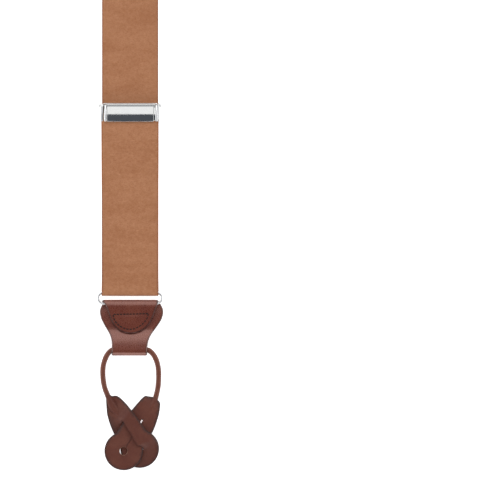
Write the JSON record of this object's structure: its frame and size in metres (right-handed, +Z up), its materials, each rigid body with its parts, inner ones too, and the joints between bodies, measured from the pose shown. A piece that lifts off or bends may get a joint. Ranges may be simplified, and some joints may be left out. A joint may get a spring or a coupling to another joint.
{
  "type": "button-end suspenders",
  "caption": "Suede dress suspenders with two front straps joined at a leather back patch, lever adjusters, wire rings, leather end tabs and rolled leather loops with keyhole button tabs.",
  "frame": {"origin": "middle of the footprint, on the table the braces lie on", "axes": "+Y from the front button tabs towards the back ones, +Z up from the table towards the straps' outer face"},
  "size_m": [0.3246, 1.0798, 0.0084],
  "materials": {
    "suede": "tan suede, fine nap",
    "elastic": "woven elastic, fine ribs along its length",
    "leather": "dark brown smooth leather with a low sheen",
    "lining": "plain lining leather",
    "nickel": "polished nickel plate"
  },
  "bodies": {
    "yoke": {"left_strap_upper": "suede", "right_strap_upper": "suede", "back_patch": "leather", "back_patch_lining": "lining", "back_elastic": "elastic"},
    "left_leg": {"left_strap_lower": "suede"},
    "left_adjuster": {"left_adjuster_frame": "nickel", "left_pivot_pin": "nickel", "left_strap_front": "suede"},
    "left_lever": {"left_cam_lever": "nickel"},
    "left_strap_end": {"left_strap_fold": "suede"},
    "left_ring_link": {"left_ring": "nickel"},
    "left_leather_end": {"left_end_tab": "leather"},
    "left_button_loop": {"left_loop_cord": "leather", "left_button_tab_a": "leather", "left_button_tab_b": "leather"},
    "right_leg": {"right_strap_lower": "suede"},
    "right_adjuster": {"right_adjuster_frame": "nickel", "right_pivot_pin": "nickel", "right_strap_front": "suede"},
    "right_lever": {"right_cam_lever": "nickel"},
    "right_strap_end": {"right_strap_fold": "suede"},
    "right_ring_link": {"right_ring": "nickel"},
    "right_leather_end": {"right_end_tab": "leather"},
    "right_button_loop": {"right_loop_cord": "leather", "right_button_tab_a": "leather", "right_button_tab_b": "leather"},
    "back_strap_end": {"back_strap_fold": "elastic"},
    "back_ring_link": {"back_ring": "nickel"},
    "back_leather_end": {"back_end_tab": "leather"},
    "back_button_loop": {"back_loop_cord": "leather", "back_button_tab_a": "leather", "back_button_tab_b": "leather"}
  },
  "joints": [
    {"name": "left_shoulder_bend", "type": "hinge", "parent": "yoke", "child": "left_leg", "pos_m": [-0.14, -0.15, 0.00065], "axis": [-1, 0, 0], "range_deg": [-90, 110]},
    {"name": "left_adjuster_travel", "type": "slide", "parent": "left_leg", "child": "left_adjuster", "axis": [0, 1, 0], "range_m": [-0.06, 0.09]},
    {"name": "left_lever_lift", "type": "hinge", "parent": "left_adjuster", "child": "left_lever", "pos_m": [-0.14, -0.29323, 0.0046], "axis": [-1, 0, 0], "range_deg": [0, 95]},
    {"name": "left_strap_take_up", "type": "slide", "parent": "left_adjuster", "child": "left_strap_end", "axis": [0, 1, 0], "range_m": [-0.045, 0.03], "deforming": ["left_strap_lower", "left_strap_front"]},
    {"name": "left_ring_turn", "type": "hinge", "parent": "left_strap_end", "child": "left_ring_link", "pos_m": [-0.14, -0.41953, 0.0032], "axis": [-1, 0, 0], "range_deg": [-50, 50]},
    {"name": "left_tab_turn", "type": "hinge", "parent": "left_ring_link", "child": "left_leather_end", "pos_m": [-0.14, -0.42683, 0.0032], "axis": [-1, 0, 0], "range_deg": [-50, 50]},
    {"name": "left_loop_turn", "type": "hinge", "parent": "left_leather_end", "child": "left_button_loop", "pos_m": [-0.14, -0.45813, 0.00395], "axis": [-1, 0, 0], "range_deg": [-60, 60]},
    {"name": "right_shoulder_bend", "type": "hinge", "parent": "yoke", "child": "right_leg", "pos_m": [0.14, -0.15, 0.00065], "axis": [-1, 0, 0], "range_deg": [-90, 110]},
    {"name": "right_adjuster_travel", "type": "slide", "parent": "right_leg", "child": "right_adjuster", "axis": [0, 1, 0], "range_m": [-0.06, 0.09]},
    {"name": "right_lever_lift", "type": "hinge", "parent": "right_adjuster", "child": "right_lever", "pos_m": [0.14, -0.29323, 0.0046], "axis": [-1, 0, 0], "range_deg": [0, 95]},
    {"name": "right_strap_take_up", "type": "slide", "parent": "right_adjuster", "child": "right_strap_end", "axis": [0, 1, 0], "range_m": [-0.045, 0.03], "deforming": ["right_strap_lower", "right_strap_front"]},
    {"name": "right_ring_turn", "type": "hinge", "parent": "right_strap_end", "child": "right_ring_link", "pos_m": [0.14, -0.41953, 0.0032], "axis": [-1, 0, 0], "range_deg": [-50, 50]},
    {"name": "right_tab_turn", "type": "hinge", "parent": "right_ring_link", "child": "right_leather_end", "pos_m": [0.14, -0.42683, 0.0032], "axis": [-1, 0, 0], "range_deg": [-50, 50]},
    {"name": "right_loop_turn", "type": "hinge", "parent": "right_leather_end", "child": "right_button_loop", "pos_m": [0.14, -0.45813, 0.00395], "axis": [-1, 0, 0], "range_deg": [-60, 60]},
    {"name": "back_stretch", "type": "slide", "parent": "yoke", "child": "back_strap_end", "axis": [0, 1, 0], "range_m": [0, 0.04], "stiffness_N_per_m": 250, "deforming": ["back_elastic"]},
    {"name": "back_ring_turn", "type": "hinge", "parent": "back_strap_end", "child": "back_ring_link", "pos_m": [0, 0.41953, 0.0032], "axis": [1, 0, 0], "range_deg": [-50, 50]},
    {"name": "back_tab_turn", "type": "hinge", "parent": "back_ring_link", "child": "back_leather_end", "pos_m": [0, 0.42683, 0.0032], "axis": [1, 0, 0], "range_deg": [-50, 50]},
    {"name": "back_loop_turn", "type": "hinge", "parent": "back_leather_end", "child": "back_button_loop", "pos_m": [0, 0.45813, 0.00395], "axis": [1, 0, 0], "range_deg": [-60, 60]}
  ],
  "couplings": [
    {"joint": "left_strap_take_up", "follows": "left_adjuster_travel", "ratio": -0.5},
    {"joint": "right_strap_take_up", "follows": "right_adjuster_travel", "ratio": -0.5}
  ]
}
